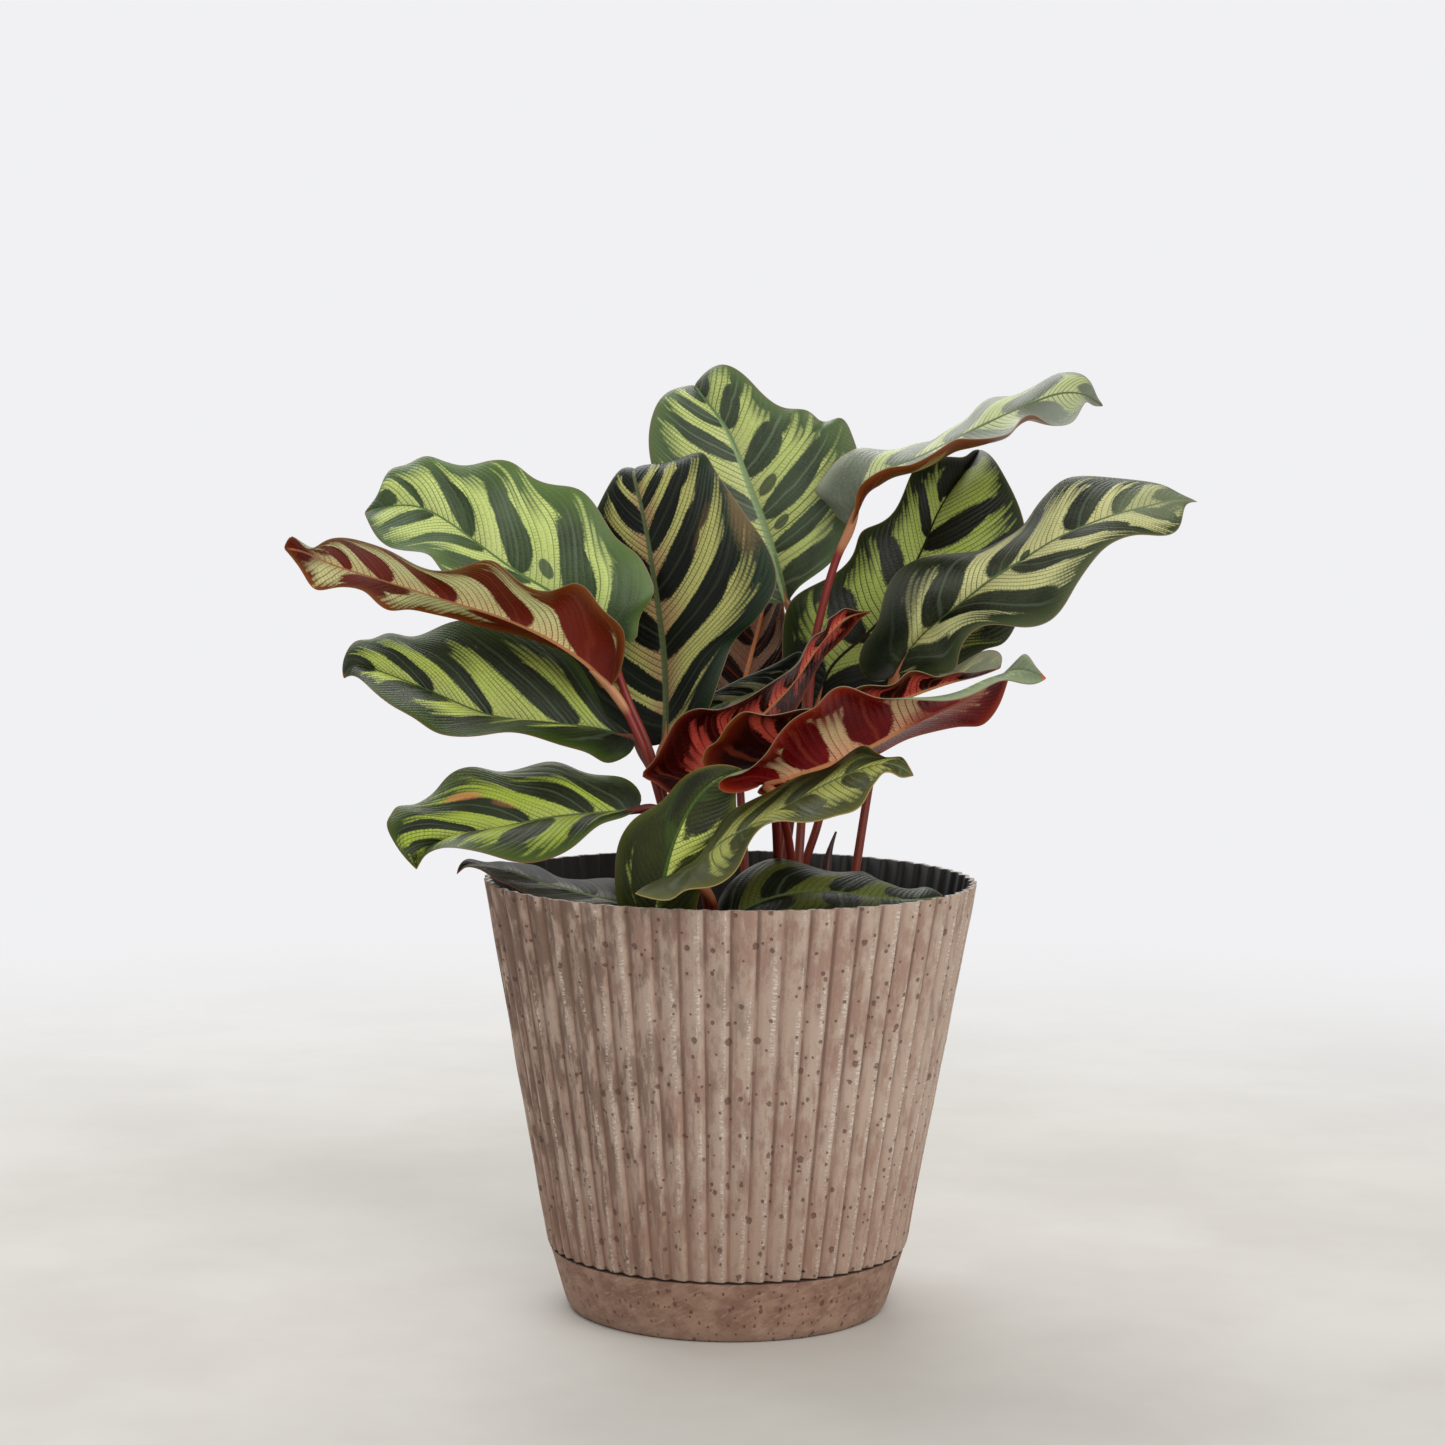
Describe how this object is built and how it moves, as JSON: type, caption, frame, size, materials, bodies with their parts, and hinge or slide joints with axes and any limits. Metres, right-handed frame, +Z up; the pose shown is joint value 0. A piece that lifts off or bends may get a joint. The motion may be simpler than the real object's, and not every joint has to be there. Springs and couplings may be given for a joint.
{
  "type": "potted peacock plant",
  "caption": "Bushy tropical houseplant with peacock-patterned leaves, green above and wine red below, on bare stalks in a ribbed round pot.",
  "frame": {"origin": "on the surface that the pot stands on, on the pot's upright axis", "axes": "+Z up along the pot's axis, +X to the right and -Y towards the viewer as pictured"},
  "size_m": [0.3035, 0.1833, 0.3255],
  "materials": {
    "pot": "matt stone-look greige with vertical streaks and small pits, charcoal inside",
    "pot_foot": "smooth matt stone-look greige with fine specks",
    "soil": "dark crumbly peat potting soil",
    "blade": "satin leaf: dark green ovals on pale yellow-green above, the same in wine red below",
    "stalk": "satin red-brown leaf stalk, orange at the joint under the blade",
    "sprout": "satin dark rolled young leaf"
  },
  "bodies": {
    "root": {"pot_body": "pot", "pot_foot": "pot_foot", "soil": "soil", "leaf_top_centre_blade": "blade", "leaf_top_centre_stalk": "stalk", "leaf_front_dark_blade": "blade", "leaf_front_dark_stalk": "stalk", "leaf_left_upper_blade": "blade", "leaf_left_upper_stalk": "stalk", "leaf_left_red_blade": "blade", "leaf_left_red_stalk": "stalk", "leaf_left_middle_blade": "blade", "leaf_left_middle_stalk": "stalk", "leaf_left_lower_blade": "blade", "leaf_left_lower_stalk": "stalk", "leaf_front_bright_blade": "blade", "leaf_front_bright_stalk": "stalk", "leaf_front_twisted_blade": "blade", "leaf_front_twisted_stalk": "stalk", "leaf_front_low_blade": "blade", "leaf_front_low_stalk": "stalk", "leaf_left_rim_blade": "blade", "leaf_left_rim_stalk": "stalk", "leaf_right_red_blade": "blade", "leaf_right_red_stalk": "stalk", "leaf_middle_red_blade": "blade", "leaf_middle_red_stalk": "stalk", "leaf_inner_red_blade": "blade", "leaf_inner_red_stalk": "stalk", "leaf_back_brown_blade": "blade", "leaf_back_brown_stalk": "stalk", "leaf_middle_dark_blade": "blade", "leaf_middle_dark_stalk": "stalk", "leaf_back_right_blade": "blade", "leaf_back_right_stalk": "stalk", "leaf_right_blade": "blade", "leaf_right_stalk": "stalk", "leaf_top_right_blade": "blade", "leaf_top_right_stalk": "stalk", "sprout": "sprout"}
  },
  "joints": []
}
